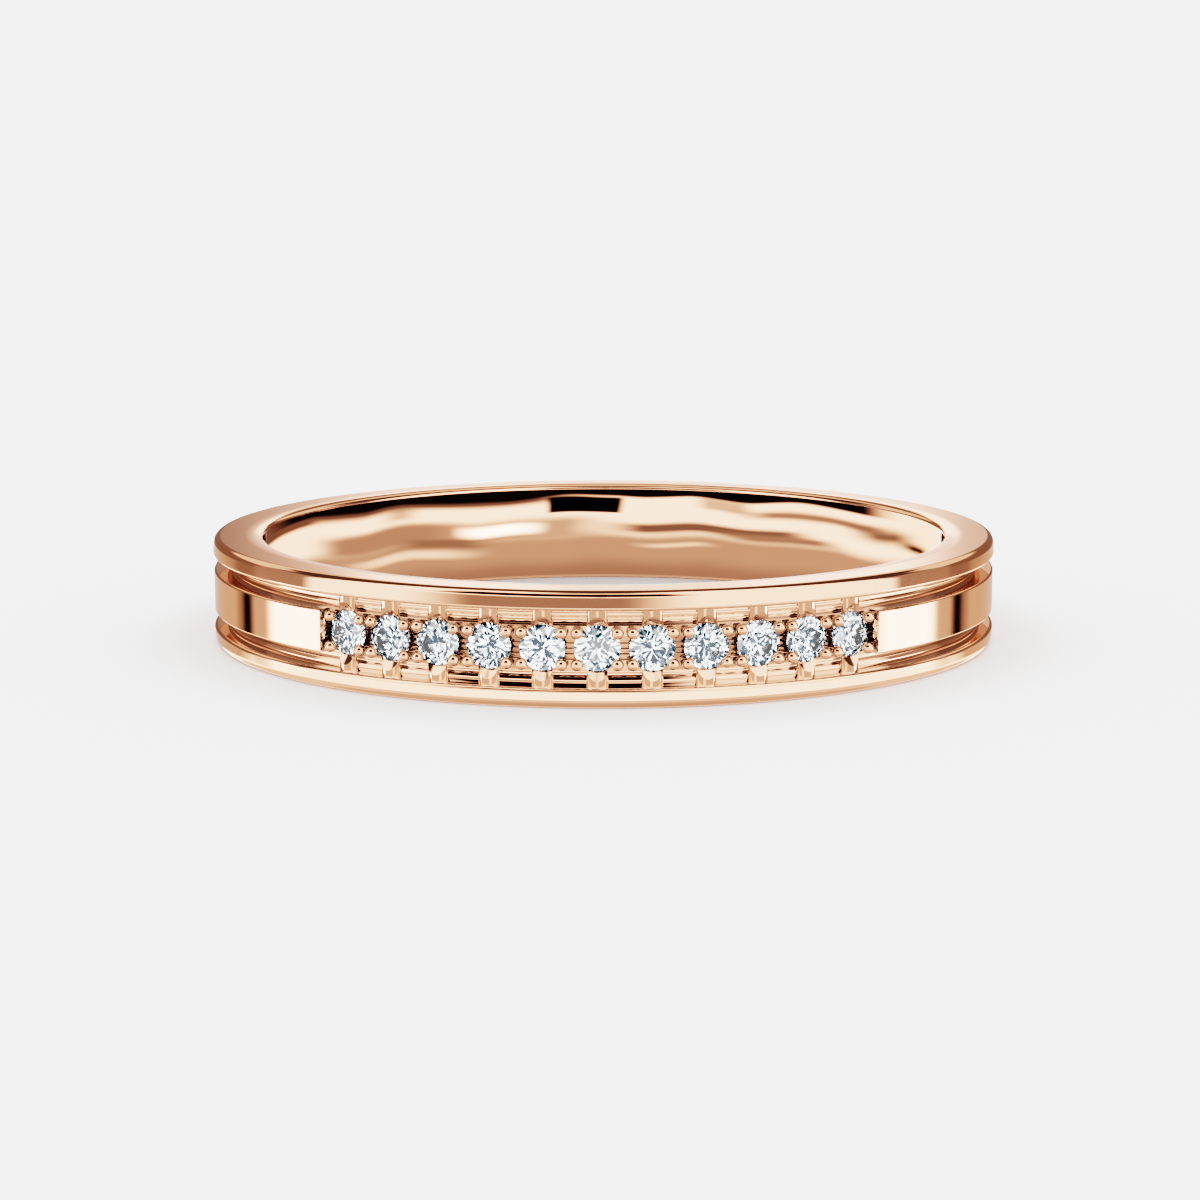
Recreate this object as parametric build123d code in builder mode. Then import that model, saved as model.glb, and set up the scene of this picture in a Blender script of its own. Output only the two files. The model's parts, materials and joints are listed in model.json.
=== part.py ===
"""Rose gold wedding band: two round-edged rails, a flat centre band between two stepped
grooves, and a row of eleven round brilliants held by beads over the front quarter.

Millimetres. The origin is the middle of the finger hole, +Z runs along the hole, and the
middle stone faces -Y.
"""

import os
from math import cos, radians, sin, tan

from build123d import *

os.makedirs("parts", exist_ok=True)

# ---------------------------------------------------------------- driving dimensions
BORE_R = 8.25                 # finger hole, ring size 6
OUTER_R = 9.45                # polished face of the two rails
WIDTH = 2.55                  # along the finger
SLEEVE_R = 8.69               # outside of the inner sleeve, seat of everything else
CROWN_ARC = 2.31              # big radius that rolls the sleeve's edge towards the bore
CROWN_SLOPE = 9.2             # degrees, where a small lip radius takes over

RAIL_INNER_Z = 0.84           # groove side of a rail
RAIL_LEAN = 0.03              # how much smaller a rail's face is at its outer edge
RAIL_EDGE = 0.15              # rounding of a rail's outer edge
RAIL_GROOVE_EDGE = 0.07       # rounding of its groove edge

BAND_R = 9.43                 # polished face of the centre band
BAND_Z = 0.49                 # half its height
BAND_EDGE = 0.045
BAND_END = 40.75              # degrees from the middle stone to each end of the band

STEP_HIGH_R = 9.12            # groove floor next to a rail
STEP_LOW_R = 9.00             # groove floor next to the centre band
STEP_Z = 0.665                # height of the step between them
STEP_BOW = 0.022              # how far each floor bulges, like a flattened wire

STONE_COUNT = 11
STONE_PITCH = 7.40            # degrees
STONE_TURN = 17               # degrees each stone is turned about its own axis from the last
STONE_D = 1.00
GIRDLE_R = 9.15               # distance of the girdle plane from the ring's axis
GIRDLE_HALF = 0.015
TABLE = 0.56                  # table width over stone diameter
CROWN_ANGLE = 34.5
CROWN_ENVELOPE = 41.0         # cone that clears every facet near the girdle
PAVILION_ANGLE = 40.75
STAR_LENGTH = 0.50
LOWER_LENGTH = 0.77

BEAD_R = 0.122
BEAD_CENTRE_R = 9.25
BEAD_X = 0.435                # beads beside the stone's centre, along the row
BEAD_Z = 0.343                # and across it
PIN_R = 0.08
PIN_FOOT_R = 8.95

DECK_HIGH_R = 9.14            # rims of the deck that carry the beads
DECK_LOW_R = 9.06             # sunk floor between the rims
DECK_RIM_Z = 0.25
REED_PITCH = 0.117            # fine lines cut along the sunk floor
REED_WIDTH = 0.05
REED_DEPTH = 0.07
REED_COUNT = 3

COLLET_FOOT_R = 8.80
COLLET_HALF_WIDTH = 0.235
BAR_RISE = 0.18               # domed bar on top of the collet's block, half an ellipse
BAR_TOP_R = 9.30
SEAT_GAP = 0.012              # round the stone
SEAT_RISE = 0.135             # bright-cut bevel above the girdle: its height
SEAT_REACH = 0.188            # and how far it opens

HALF = WIDTH / 2
STONE_R = STONE_D / 2
STONE_PLANE = Plane(origin=(0, -GIRDLE_R, 0), x_dir=(1, 0, 0), z_dir=(0, -1, 0))
FULL_TURN = 360
MIDDLE = (STONE_COUNT - 1) / 2


def stone_place(index):
    """Turn about the ring's axis that takes the middle stone to stone number index."""
    return Location((0, 0, 0), (0, 0, (index - MIDDLE) * STONE_PITCH))


def facing_front(degrees):
    """Upright plane through the ring's axis, whose x points away from it at the given
    turn from the middle stone."""
    turn = radians(degrees)
    return Plane(origin=(0, 0, 0), x_dir=(sin(turn), -cos(turn), 0), z_dir=(-cos(turn), -sin(turn), 0))


def save(part, name):
    """Label one finished piece and write it."""
    part.label = name
    export_step(part, f"parts/{name}.step")
    print(f"{name}: {len(part.solids())} solid(s), {part.volume:.4f} mm3")


stone_places = [stone_place(index) for index in range(STONE_COUNT)]
section = facing_front(0)

# ---------------------------------------------------------------- brilliant cut stone
# Made at the origin: girdle on XY, table up.


def on_girdle(turn, height):
    """Point of the girdle's outline."""
    return Vector(STONE_R * cos(radians(turn)), STONE_R * sin(radians(turn)), height)


def ridge_point(turn, radius, height):
    return Vector(radius * cos(radians(turn)), radius * sin(radians(turn)), height)


def facet_plane(first, second, third):
    """Plane through three points whose normal points away from the stone's middle."""
    normal = (second - first).cross(third - first)
    if normal.dot(first) < 0:
        normal = normal * -1
    return Plane(origin=first, z_dir=normal)


MAIN_FACETS = 8
MAIN_STEP = FULL_TURN / MAIN_FACETS
HALF_STEP = MAIN_STEP / 2
table_z = GIRDLE_HALF + STONE_R * (1 - TABLE) * tan(radians(CROWN_ANGLE))
table_edge = STONE_R * TABLE * cos(radians(HALF_STEP))
star_radius = table_edge + STAR_LENGTH * (STONE_R - table_edge)
star_z = GIRDLE_HALF + (STONE_R - star_radius * cos(radians(HALF_STEP))) * tan(radians(CROWN_ANGLE))
lower_radius = STONE_R * (1 - LOWER_LENGTH)
lower_z = -GIRDLE_HALF - (STONE_R - lower_radius * cos(radians(HALF_STEP))) * tan(radians(PAVILION_ANGLE))
culet_z = -GIRDLE_HALF - STONE_R * tan(radians(PAVILION_ANGLE))

facets = []
for main in range(MAIN_FACETS):
    turn = main * MAIN_STEP
    star = ridge_point(turn + HALF_STEP, star_radius, star_z)
    lower = ridge_point(turn + HALF_STEP, lower_radius, lower_z)
    corner = ridge_point(turn, STONE_R * TABLE, table_z)
    next_corner = ridge_point(turn + MAIN_STEP, STONE_R * TABLE, table_z)
    back_star = ridge_point(turn - HALF_STEP, star_radius, star_z)
    back_lower = ridge_point(turn - HALF_STEP, lower_radius, lower_z)
    facets.append(facet_plane(on_girdle(turn, GIRDLE_HALF), star, back_star))
    facets.append(facet_plane(corner, next_corner, star))
    facets.append(facet_plane(on_girdle(turn, -GIRDLE_HALF), lower, back_lower))
    for side in (-1, 1):
        tip = star if side > 0 else back_star
        low_tip = lower if side > 0 else back_lower
        for height, inner in ((GIRDLE_HALF, tip), (-GIRDLE_HALF, low_tip)):
            start = on_girdle(turn, height)
            end = on_girdle(turn + side * HALF_STEP, height)
            facets.append(facet_plane(start, end, inner))

GIRDLE_SIDES = 4 * MAIN_FACETS
with BuildPart() as brilliant:
    with BuildSketch(Plane.XY.offset(culet_z)):
        RegularPolygon(radius=STONE_R, side_count=GIRDLE_SIDES)
    extrude(amount=table_z - culet_z)
    for facet in facets:
        split(bisect_by=facet, keep=Keep.BOTTOM)

# ---------------------------------------------------------------- cutters
# Seat burr: follows the pavilion with a little room, then opens as a bright-cut bevel.
burr_top = OUTER_R - GIRDLE_R + HALF  # clear above every piece it cuts
with BuildPart() as seat_burr:
    with BuildSketch(Plane.XZ):
        with BuildLine():
            Polyline(
                (0, culet_z - 2 * SEAT_GAP),
                (STONE_R + SEAT_GAP, -GIRDLE_HALF),
                (STONE_R + SEAT_GAP, GIRDLE_HALF),
                (STONE_R + SEAT_GAP + SEAT_REACH, GIRDLE_HALF + SEAT_RISE),
                (STONE_R + SEAT_GAP + SEAT_REACH, burr_top),
                (0, burr_top),
                close=True,
            )
        make_face()
    revolve(axis=Axis.Z)

# Bead on its pin, before the stone's notch is cut in it.
with BuildPart() as bead_blank:
    Sphere(BEAD_R)
    pin_length = BEAD_CENTRE_R - PIN_FOOT_R
    with Locations((0, 0, -pin_length / 2)):
        Cylinder(PIN_R, pin_length)

with BuildPart() as four_beads:
    bead_rise = BEAD_CENTRE_R - GIRDLE_R
    with Locations(*[(x, z, bead_rise) for x in (-BEAD_X, BEAD_X) for z in (-BEAD_Z, BEAD_Z)]):
        add(bead_blank.part)

# Collet block with its domed bar, from rail to rail, before the seat is cut.
with BuildPart() as collet_blank:
    with BuildSketch(Plane.XZ.offset(-RAIL_INNER_Z)):
        foot = COLLET_FOOT_R - GIRDLE_R
        shoulder = BAR_TOP_R - BAR_RISE - GIRDLE_R
        with Locations((0, (foot + shoulder) / 2)):
            Rectangle(2 * COLLET_HALF_WIDTH, shoulder - foot)
        with Locations((0, shoulder)):
            Ellipse(COLLET_HALF_WIDTH, BAR_RISE)
    extrude(amount=2 * RAIL_INNER_Z)

# ---------------------------------------------------------------- sleeve
crown_reach = CROWN_ARC * sin(radians(CROWN_SLOPE))
lip_radius = (SLEEVE_R - crown_reach - BORE_R) / (1 - sin(radians(CROWN_SLOPE)))
with BuildPart() as sleeve:
    with BuildSketch(section):
        with BuildLine():
            crown = JernArc(start=(SLEEVE_R, HALF), tangent=(-1, 0), radius=CROWN_ARC, arc_size=CROWN_SLOPE)
            lip = JernArc(start=crown @ 1, tangent=crown % 1, radius=lip_radius, arc_size=90 - CROWN_SLOPE)
            Polyline(lip @ 1, (BORE_R, 0), (SLEEVE_R, 0), (SLEEVE_R, HALF))
        make_face()
        mirror(about=Plane.XZ)
    revolve(axis=Axis.Z)
save(sleeve.part, "sleeve")
print(f"straight bore wall: {2 * (lip @ 1).Y:.3f} mm")

# ---------------------------------------------------------------- rails
with BuildPart() as upper_rail:
    with BuildSketch(section):
        with BuildLine():
            Polyline(
                (SLEEVE_R, RAIL_INNER_Z),
                (OUTER_R, RAIL_INNER_Z),
                (OUTER_R - RAIL_LEAN, HALF),
                (SLEEVE_R, HALF),
                close=True,
            )
        blank = make_face()
        by_radius = blank.vertices().sort_by(Axis.X)
        fillet(by_radius[-1], RAIL_GROOVE_EDGE)
        fillet(by_radius[-2], RAIL_EDGE)
    revolve(axis=Axis.Z)
save(upper_rail.part, "upper_rail")

with BuildPart() as lower_rail:
    add(upper_rail.part)
    mirror(about=Plane.XY, mode=Mode.REPLACE)
save(lower_rail.part, "lower_rail")

# ---------------------------------------------------------------- groove floors
low_edge = STEP_LOW_R - STEP_BOW / 2
high_edge = STEP_HIGH_R - STEP_BOW / 2
with BuildPart() as upper_step_wire:
    with BuildSketch(section):
        with BuildLine():
            ThreePointArc(
                (low_edge, BAND_Z),
                (low_edge + STEP_BOW, (BAND_Z + STEP_Z) / 2),
                (low_edge, STEP_Z),
            )
            Line((low_edge, STEP_Z), (high_edge, STEP_Z))
            ThreePointArc(
                (high_edge, STEP_Z),
                (high_edge + STEP_BOW, (STEP_Z + RAIL_INNER_Z) / 2),
                (high_edge, RAIL_INNER_Z),
            )
            Polyline(
                (high_edge, RAIL_INNER_Z),
                (SLEEVE_R, RAIL_INNER_Z),
                (SLEEVE_R, BAND_Z),
                (low_edge, BAND_Z),
            )
        make_face()
    revolve(axis=Axis.Z)
    with Locations(*stone_places):
        with Locations(STONE_PLANE.location):
            add(collet_blank.part, mode=Mode.SUBTRACT)
save(upper_step_wire.part, "upper_step_wire")

with BuildPart() as lower_step_wire:
    add(upper_step_wire.part)
    mirror(about=Plane.XY, mode=Mode.REPLACE)
save(lower_step_wire.part, "lower_step_wire")

# ---------------------------------------------------------------- centre band
with BuildPart() as centre_band:
    with BuildSketch(facing_front(BAND_END)):
        with Locations(((SLEEVE_R + BAND_R) / 2, 0)):
            blank = Rectangle(BAND_R - SLEEVE_R, 2 * BAND_Z)
        fillet(blank.vertices().group_by(Axis.X)[-1], BAND_EDGE)
    revolve(axis=Axis.Z, revolution_arc=FULL_TURN - 2 * BAND_END)
save(centre_band.part, "centre_band")

# ---------------------------------------------------------------- deck under the stones
with BuildPart() as stone_deck:
    with BuildSketch(facing_front(-BAND_END)):
        with Locations(((SLEEVE_R + DECK_HIGH_R) / 2, 0)):
            Rectangle(DECK_HIGH_R - SLEEVE_R, 2 * BAND_Z)
        with Locations(((DECK_LOW_R + DECK_HIGH_R) / 2, 0)):
            Rectangle(DECK_HIGH_R - DECK_LOW_R, 2 * DECK_RIM_Z, mode=Mode.SUBTRACT)
        with Locations((DECK_LOW_R - REED_DEPTH / 2, 0)):
            with GridLocations(1, REED_PITCH, 1, REED_COUNT):
                Rectangle(REED_DEPTH, REED_WIDTH, mode=Mode.SUBTRACT)
    revolve(axis=Axis.Z, revolution_arc=2 * BAND_END)
    with Locations(*stone_places):
        with Locations(STONE_PLANE.location):
            add(collet_blank.part, mode=Mode.SUBTRACT)
            add(seat_burr.part, mode=Mode.SUBTRACT)
            add(four_beads.part, mode=Mode.SUBTRACT)
save(stone_deck.part, "stone_deck")

# ---------------------------------------------------------------- one setting, repeated
with BuildPart() as collet:
    add(collet_blank.part)
    add(seat_burr.part, mode=Mode.SUBTRACT)

with BuildPart() as stone_envelope:
    with BuildSketch(Plane.XZ):
        with BuildLine():
            Polyline(
                (0, culet_z),
                (STONE_R, -GIRDLE_HALF),
                (STONE_R, GIRDLE_HALF),
                (0, GIRDLE_HALF + STONE_R * tan(radians(CROWN_ENVELOPE))),
                close=True,
            )
        make_face()
    revolve(axis=Axis.Z)

with BuildPart() as beads:
    add(four_beads.part)
    add(stone_envelope.part, mode=Mode.SUBTRACT)

for index, place in enumerate(stone_places, start=1):
    seat = place * STONE_PLANE.location
    turned = seat * Location((0, 0, 0), (0, 0, index * STONE_TURN))
    setting = (("collet", collet, seat), ("beads", beads, seat), ("diamond", brilliant, turned))
    for kind, master, spot in setting:
        with BuildPart() as piece:
            with Locations(spot):
                add(master.part)
        save(piece.part, f"{kind}_{index:02d}")
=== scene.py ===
"""Rose gold wedding band with a beaded row of eleven diamonds, its paper stage, its studio
light and its camera. Sizes in the tables below are millimetres; meshes are written in metres.

The ring's axis is Z. A turn is measured about it from the middle stone, which faces -Y.
"""

import json

import bmesh
import bpy
import numpy as np
from bpy.props import FloatProperty, FloatVectorProperty, IntProperty, PointerProperty
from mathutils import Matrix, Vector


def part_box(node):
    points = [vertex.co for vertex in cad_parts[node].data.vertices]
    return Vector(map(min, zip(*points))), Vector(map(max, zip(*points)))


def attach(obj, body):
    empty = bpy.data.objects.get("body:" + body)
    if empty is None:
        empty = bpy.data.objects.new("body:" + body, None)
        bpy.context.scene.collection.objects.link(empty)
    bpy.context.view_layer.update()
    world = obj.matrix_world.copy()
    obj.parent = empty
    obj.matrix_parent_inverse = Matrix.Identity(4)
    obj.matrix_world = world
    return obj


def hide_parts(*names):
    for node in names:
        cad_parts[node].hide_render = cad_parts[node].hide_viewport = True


bl_info = {
    "name": "Beaded Wedding Band",
    "version": (1, 0, 0),
    "blender": (4, 5, 0),
    "location": "3D View > Sidebar > Wedding Band",
    "description": "Builds a rose gold band with a beaded row of stones, its stage and its camera",
    "category": "Object",
}

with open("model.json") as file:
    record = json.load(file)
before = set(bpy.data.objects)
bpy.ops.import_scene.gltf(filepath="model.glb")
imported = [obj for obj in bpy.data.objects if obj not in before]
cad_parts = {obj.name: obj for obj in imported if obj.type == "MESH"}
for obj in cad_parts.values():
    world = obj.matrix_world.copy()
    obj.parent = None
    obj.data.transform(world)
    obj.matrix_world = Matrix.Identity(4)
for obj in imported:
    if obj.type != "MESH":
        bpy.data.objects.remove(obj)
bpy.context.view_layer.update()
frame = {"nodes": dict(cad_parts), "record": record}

MM = 0.001
STONE_COUNT = sum(name.startswith("diamond_") for name in frame["nodes"])
BORE = next(mount for mount in frame["record"]["mounts"] if mount["name"] == "finger_bore")

# ---------------------------------------------------------------- sizes, millimetres
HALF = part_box("sleeve")[1].z / MM            # half the band's width along the finger
SLEEVE_R = 8.69
CROWN_ARC = 2.31
CROWN_SLOPE = np.radians(9.2)
OUTER_R = 9.45
RAIL_INNER_Z = 0.84
RAIL_LEAN = 0.03
RAIL_EDGE = 0.15                             # outer rounding of the upper rail
RAIL_FOOT_EDGE = 0.20                        # and of the lower one
RAIL_GROOVE_EDGE = 0.07
BAND_R = 9.43
BAND_Z = 0.49
BAND_EDGE = 0.045
BAND_END = np.radians(40.75)
STEP_HIGH_R = 9.12
STEP_LOW_R = 9.00
STEP_Z = 0.665
STEP_BOW = np.radians(22.0)
GIRDLE_R = 9.15
GIRDLE_HALF = 0.015
STONE_R = 0.50
CROWN_RISE = np.tan(np.radians(41.0))
SEAT_R = 0.512                               # straight wall round the girdle
SEAT_TIP = -0.4698                           # foot of the seat's cone
SEAT_MOUTH_R = 0.70                          # bevel at its widest
SEAT_MOUTH = 0.15
DECK_HIGH_R = 9.14
DECK_LOW_R = 9.06
DECK_FOOT_R = 8.9
DECK_RIM_Z = 0.25
REED_PITCH = 0.117
REED_WIDTH = 0.05
REED_DEPTH = 0.07
BRIM_R = 0.49                                # seat's radius where it meets the deck
FIRST_REACH = 0.4                            # and a first guess at it, along the row
BEAD_R = 0.134
BEAD_RISE = 0.112
BEAD_X = 0.435
BEAD_Z = 0.343
PIN_R = 0.08
PIN_FOOT = -0.20
COLLET_HALF_WIDTH = 0.235
COLLET_FOOT = -0.35
COLLET_BITE = 0.02                           # start of the bar, past the rail's groove face
BAR_RISE = 0.18
BAR_TOP = 0.15
SMALL_EDGE = 0.012

# Seat of a stone: height above the girdle plane and radius about the stone's axis.
SEAT_HEIGHTS = np.array([SEAT_TIP, -GIRDLE_HALF, GIRDLE_HALF, SEAT_MOUTH, 1.0])
SEAT_RADII = np.array([0.0, SEAT_R, SEAT_R, SEAT_MOUTH_R, SEAT_MOUTH_R])

# Heights above the girdle plane of the rows that run down a collet's cut.
CUT_LEVELS = np.array([0.145, 0.12, 0.09, 0.06, 0.03, 0.015, 0, -0.015, -0.06, -0.15, -0.25, COLLET_FOOT])

# ---------------------------------------------------------------- grid sizes
CROWN_ROWS = 14
LIP_ROWS = 16
EDGE_ROWS = 14
WIRE_ROWS = 17
BRIDGE_ROWS = 17
PIT_ROWS = 12
PIT_COLUMNS = 288
BAR_ROWS = 12
BAR_COLUMNS = 49
BEAD_ROWS = 30
BEAD_COLUMNS = 48
CARD_COLUMNS = 720


# ---------------------------------------------------------------- outlines
def arc(centre, radius, start, end, count):
    """Points centre + radius * (cos a, sin a) for a evenly spaced from start to end."""
    angle = np.linspace(start, end, count)
    return np.stack([centre[0] + radius * np.cos(angle), centre[1] + radius * np.sin(angle)], axis=1)


def rounded(corners, closed=True, steps=10, lead=0.004):
    """Path through corners (across, up, rounding). Each rounded corner is an arc tangent to
    both sides, and a point just before and after every corner keeps the flats flat."""
    points = np.array([corner[:2] for corner in corners])
    pieces = []
    for index, corner in enumerate(corners):
        here = points[index]
        if not closed and index in (0, len(corners) - 1):
            pieces.append(here[None])
            continue
        before = here - points[index - 1]
        after = points[(index + 1) % len(corners)] - here
        before = before / np.hypot(*before)
        after = after / np.hypot(*after)
        bend = np.arctan2(before[0] * after[1] - before[1] * after[0], before @ after)
        radius = corner[2]
        reach = radius * np.tan(abs(bend) / 2)
        side = np.sign(bend)
        middle = here - before * reach + side * radius * np.array([-before[1], before[0]])
        start = np.arctan2(-side * before[0], side * before[1])
        bow = arc(middle, radius, start, start + bend, steps) if radius else here[None]
        first = here - before * (reach + lead)
        last = here + after * (reach + lead)
        pieces.append(np.vstack([first, bow, last]))
    return np.vstack(pieces)


def seat_radius(height):
    """Radius of the stone's seat at a height above the girdle plane: cone, short wall, bevel."""
    return np.interp(height, SEAT_HEIGHTS, SEAT_RADII)


# ---------------------------------------------------------------- meshes
def grid_faces(rows, columns, close_rows=False, close_columns=False):
    """Quads of a rows x columns grid, whose front is (step along rows) x (step along columns)."""
    row = np.arange(rows if close_rows else rows - 1)[:, None]
    column = np.arange(columns if close_columns else columns - 1)[None, :]
    next_row = (row + 1) % rows
    next_column = (column + 1) % columns
    quad = (
        row * columns + column,
        next_row * columns + column,
        next_row * columns + next_column,
        row * columns + next_column,
    )
    return np.stack(quad, axis=-1).reshape(-1, 4)


def around_axis(radius, turn, height):
    """Point at a radius and turn about the ring's axis: (r sin t, -r cos t, z)."""
    radius, turn, height = np.broadcast_arrays(radius, turn, height)
    return np.stack([radius * np.sin(turn), -radius * np.cos(turn), height], axis=-1)


def on_stone(across, up, rise, turn):
    """Point beside a stone's axis: across along the row, up along the finger, rise above the
    girdle plane, then turned about the ring's axis to that stone."""
    across, up, rise, turn = np.broadcast_arrays(across, up, rise, turn)
    out = GIRDLE_R + rise
    return np.stack(
        [across * np.cos(turn) + out * np.sin(turn), across * np.sin(turn) - out * np.cos(turn), up],
        axis=-1,
    )


def make_piece(name, sheets, material, crease=30.0):
    """One mesh object from (points, faces) sheets in millimetres. Coinciding points are joined
    and edges sharper than the crease angle stay crisp."""
    points = np.vstack([sheet[0].reshape(-1, 3) for sheet in sheets]) * MM
    offsets = np.cumsum([0] + [sheet[0].size // 3 for sheet in sheets[:-1]])
    faces = np.vstack([sheet[1] + offset for sheet, offset in zip(sheets, offsets)])
    mesh = bpy.data.meshes.new(name)
    mesh.vertices.add(len(points))
    mesh.vertices.foreach_set("co", points.ravel())
    mesh.loops.add(faces.size)
    mesh.loops.foreach_set("vertex_index", faces.ravel().astype(np.int32))
    mesh.polygons.add(len(faces))
    mesh.polygons.foreach_set("loop_start", np.arange(0, faces.size, 4, dtype=np.int32))
    mesh.update(calc_edges=True)
    work = bmesh.new()
    work.from_mesh(mesh)
    bmesh.ops.remove_doubles(work, verts=work.verts, dist=1e-8)
    bmesh.ops.dissolve_degenerate(work, edges=work.edges, dist=1e-9)
    work.to_mesh(mesh)
    work.free()
    mesh.polygons.foreach_set("use_smooth", np.ones(len(mesh.polygons), dtype=bool))
    mesh.set_sharp_from_angle(angle=np.radians(crease))
    mesh.materials.append(material)
    piece = bpy.data.objects.new(name, mesh)
    bpy.context.scene.collection.objects.link(piece)
    return piece


def settle(piece, slot, *nodes):
    """The piece rides on the ring and stands for the CAD nodes, which it hides. The slot is not used."""
    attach(piece, "root")
    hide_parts(*nodes)


def lathe(outline, steps):
    """The closed outline (radius, height) carried all the way round the ring's axis."""
    turn = np.linspace(0, 2 * np.pi, steps, endpoint=False)[:, None]
    points = around_axis(outline[None, :, 0], turn, outline[None, :, 1])
    return points, grid_faces(steps, len(outline), True, True)


def sleeve_outline(bore_radius):
    """Outside wall, top crown arc, lip arc, bore wall, then the same mirrored below."""
    reach = CROWN_ARC * np.sin(CROWN_SLOPE)
    lip = (SLEEVE_R - reach - bore_radius) / (1 - np.sin(CROWN_SLOPE))
    start = np.pi / 2
    end = start + CROWN_SLOPE
    crown = arc((SLEEVE_R, HALF - CROWN_ARC), CROWN_ARC, start, end, CROWN_ROWS)
    middle = crown[-1] - lip * np.array([np.cos(end), np.sin(end)])
    roll = arc(middle, lip, end, np.pi, LIP_ROWS)[1:]
    wall = np.array([[bore_radius, roll[-1, 1] * part] for part in (0.98, 0.66, 0.33, 0)])
    upper = np.vstack([crown, roll, wall])
    return np.vstack([upper, upper[-2::-1] * (1, -1)])


def rail_outline(side):
    """Rail section: flat seat, leaning face, a wide outer rounding and a small groove rounding."""
    corners = [
        (SLEEVE_R, RAIL_INNER_Z, 0),
        (OUTER_R, RAIL_INNER_Z, RAIL_GROOVE_EDGE),
        (OUTER_R - RAIL_LEAN, HALF, RAIL_EDGE if side > 0 else RAIL_FOOT_EDGE),
        (SLEEVE_R, HALF, 0),
    ]
    outline = rounded(corners, steps=EDGE_ROWS)
    return outline if side > 0 else outline[::-1] * (1, -1)


def step_outline(side):
    """Two floors of the groove with the step between them. Each floor is a shallow wire: an
    arc that leans STEP_BOW either way at its edges."""
    reach = (STEP_Z - BAND_Z) / 2
    radius = reach / np.sin(STEP_BOW)
    back = radius * (1 + np.cos(STEP_BOW)) / 2
    low = arc((STEP_LOW_R - back, BAND_Z + reach), radius, -STEP_BOW, STEP_BOW, WIRE_ROWS)
    high = arc((STEP_HIGH_R - back, STEP_Z + reach), radius, -STEP_BOW, STEP_BOW, WIRE_ROWS)
    seat = [[SLEEVE_R, RAIL_INNER_Z], [SLEEVE_R, BAND_Z]]
    outline = np.vstack([low, high, seat])
    return outline if side > 0 else outline[::-1] * (1, -1)


def band_sheets(steps):
    """Centre band: a rounded rectangle carried from one end of the row round the back to the
    other, with flat caps."""
    half_outline = rounded(
        [(SLEEVE_R, 0, 0), (SLEEVE_R, -BAND_Z, 0), (BAND_R, -BAND_Z, BAND_EDGE), (BAND_R, 0, 0)],
        closed=False,
        steps=10,
    )
    outline = np.vstack([half_outline, half_outline[-2:0:-1] * (1, -1)])
    turn = np.linspace(BAND_END, 2 * np.pi - BAND_END, steps)[:, None]
    body = around_axis(outline[None, :, 0], turn, outline[None, :, 1])
    sheets = [(body, grid_faces(steps, len(outline), False, True))]
    height = np.linspace(-1, 1, 3)[:, None] * -half_outline[None, :, 1]
    faces = grid_faces(3, len(half_outline))
    for sign in (1, -1):
        cap = around_axis(half_outline[None, :, 0], sign * BAND_END, height)
        sheets.append((cap, faces if sign > 0 else faces[:, ::-1]))
    return sheets


def deck_sheets(stone_turns):
    """Deck between the seats. Each bridge is the deck's section carried from the edge of one
    seat to the edge of the next; each pit is the seat's cone from the deck down to its tip."""
    steps = [(DECK_HIGH_R, -BAND_Z), (DECK_HIGH_R, -DECK_RIM_Z), (DECK_LOW_R, -DECK_RIM_Z)]
    for middle in (-REED_PITCH, 0, REED_PITCH):
        low = middle - REED_WIDTH / 2
        high = middle + REED_WIDTH / 2
        deep = DECK_LOW_R - REED_DEPTH
        steps += [(DECK_LOW_R, low), (deep, low), (deep, high), (DECK_LOW_R, high)]
    steps += [(DECK_LOW_R, DECK_RIM_Z), (DECK_HIGH_R, DECK_RIM_Z), (DECK_HIGH_R, BAND_Z)]
    corners = [(DECK_FOOT_R, -BAND_Z, 0)]
    corners += [(*step, SMALL_EDGE) for step in steps]
    corners += [(DECK_FOOT_R, BAND_Z, 0)]
    section = rounded(corners, closed=False, steps=5, lead=0.001)
    radius, height = section[:, 0], section[:, 1]
    reach = np.full(len(section), FIRST_REACH)
    for _ in range(3):  # settles where the seat's surface cuts each line of the section
        rise = radius * np.cos(reach / GIRDLE_R) - GIRDLE_R
        reach = np.sqrt(np.maximum(seat_radius(rise) ** 2 - height**2, 0))
    lean = reach / GIRDLE_R
    none = np.zeros(len(section))
    starts = np.vstack([none - BAND_END, stone_turns[:, None] + lean])
    ends = np.vstack([stone_turns[:, None] - lean, none + BAND_END])
    part = np.linspace(0, 1, BRIDGE_ROWS)[:, None, None]
    turn = starts + (ends - starts) * part
    sheets = []
    for bridge in range(len(starts)):
        points = around_axis(radius[None], turn[:, bridge], height[None])
        sheets.append((points, grid_faces(BRIDGE_ROWS, len(section))))
    angle = np.linspace(0, 2 * np.pi, PIT_COLUMNS, endpoint=False)[None, :]
    deck = np.where(np.abs(np.sin(angle)) * SEAT_R > DECK_RIM_Z, DECK_HIGH_R, DECK_LOW_R)
    brim = np.sqrt(deck**2 - (BRIM_R * np.cos(angle)) ** 2) - GIRDLE_R
    rise = brim + (SEAT_TIP - brim) * np.linspace(0, 1, PIT_ROWS)[:, None]
    ring = seat_radius(rise)
    for turn in stone_turns:
        pit = on_stone(ring * np.cos(angle), ring * np.sin(angle), rise, turn)
        sheets.append((pit, grid_faces(PIT_ROWS, PIT_COLUMNS, False, True)[:, ::-1]))
    return sheets


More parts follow.
